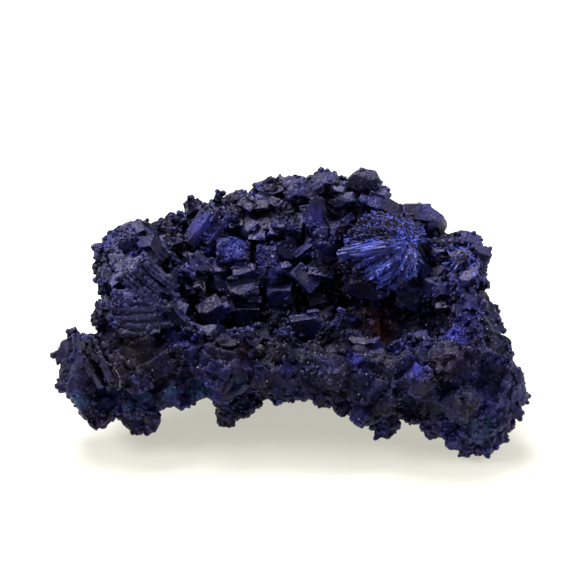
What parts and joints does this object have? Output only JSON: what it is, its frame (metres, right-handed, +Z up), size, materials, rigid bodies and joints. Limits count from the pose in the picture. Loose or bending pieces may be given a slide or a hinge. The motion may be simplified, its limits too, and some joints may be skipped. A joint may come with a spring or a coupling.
{
  "type": "azurite specimen",
  "caption": "Dished crust of dark blue azurite crystals grown together, with a knobbly rim, a ridge of blocky crystals behind it and small feet to stand on.",
  "frame": {"origin": "centre of the footprint, on the surface that the specimen stands on", "axes": "+X along the front rim, +Y from the front rim to the ridge behind, +Z up"},
  "size_m": [0.0292, 0.0194, 0.012],
  "materials": {
    "azurite": "dark blue crystal faces with a glassy gloss"
  },
  "bodies": {
    "root": {"azurite_cluster": "azurite"}
  },
  "joints": []
}
